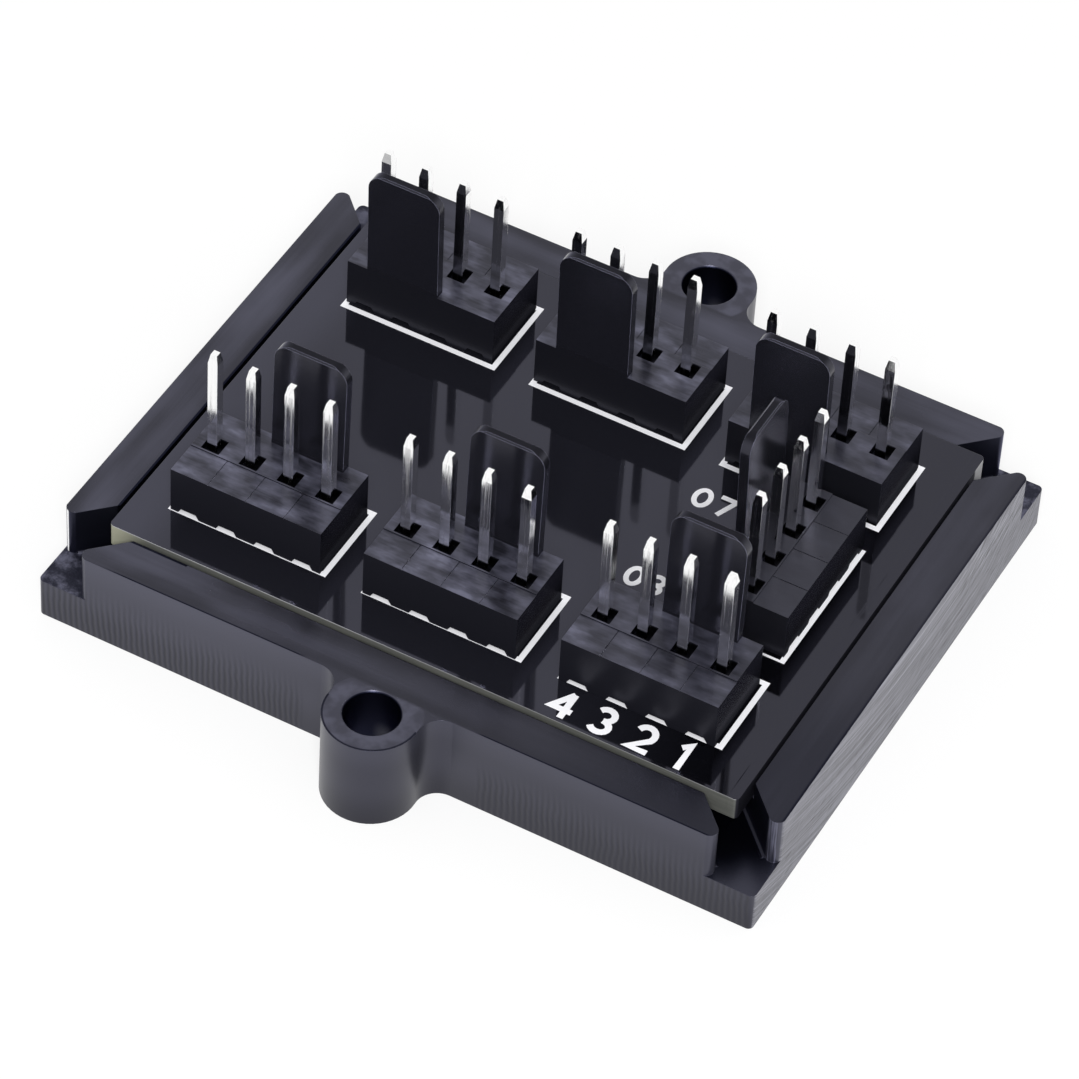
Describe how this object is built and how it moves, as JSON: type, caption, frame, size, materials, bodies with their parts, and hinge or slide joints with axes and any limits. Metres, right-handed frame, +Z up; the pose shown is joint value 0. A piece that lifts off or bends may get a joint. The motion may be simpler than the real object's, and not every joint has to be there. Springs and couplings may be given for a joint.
{
  "type": "fan splitter hub",
  "caption": "Small black fan splitter hub: a glossy circuit board with four-pin fan headers and bare tinned pins, laid in a carrier with two screw ears.",
  "frame": {"origin": "middle of the carrier's flat underside; the middle of the line between the two screw holes is 0.2 mm to its left", "axes": "+X along the rows of headers, towards the crosswise input header; +Y from the front row to the rear row; +Z up from the underside to the pins' tips"},
  "size_m": [0.047, 0.0466, 0.0178],
  "materials": {
    "black_carrier": "satin black, finely milled sides",
    "board_mask": "mirror-like black solder mask on glass-fibre laminate",
    "header_nylon": "semi-gloss moulded black nylon",
    "tinned_pin": "tin plated",
    "solder": "smooth solder"
  },
  "bodies": {
    "root": {"carrier": "black_carrier", "circuit_board": "board_mask", "front_1_header": "header_nylon", "front_2_header": "header_nylon", "front_3_header": "header_nylon", "rear_1_header": "header_nylon", "rear_2_header": "header_nylon", "rear_3_header": "header_nylon", "input_header": "header_nylon", "front_1_pin_1": "tinned_pin", "front_1_pin_2": "tinned_pin", "front_1_pin_3": "tinned_pin", "front_1_pin_4": "tinned_pin", "front_2_pin_1": "tinned_pin", "front_2_pin_2": "tinned_pin", "front_2_pin_3": "tinned_pin", "front_2_pin_4": "tinned_pin", "front_3_pin_1": "tinned_pin", "front_3_pin_2": "tinned_pin", "front_3_pin_3": "tinned_pin", "front_3_pin_4": "tinned_pin", "rear_1_pin_1": "tinned_pin", "rear_1_pin_2": "tinned_pin", "rear_1_pin_3": "tinned_pin", "rear_1_pin_4": "tinned_pin", "rear_2_pin_1": "tinned_pin", "rear_2_pin_2": "tinned_pin", "rear_2_pin_3": "tinned_pin", "rear_2_pin_4": "tinned_pin", "rear_3_pin_1": "tinned_pin", "rear_3_pin_2": "tinned_pin", "rear_3_pin_3": "tinned_pin", "rear_3_pin_4": "tinned_pin", "input_pin_1": "tinned_pin", "input_pin_2": "tinned_pin", "input_pin_3": "tinned_pin", "input_pin_4": "tinned_pin", "front_1_solder": "solder", "front_2_solder": "solder", "front_3_solder": "solder", "rear_1_solder": "solder", "rear_2_solder": "solder", "rear_3_solder": "solder", "input_solder": "solder"}
  },
  "joints": []
}
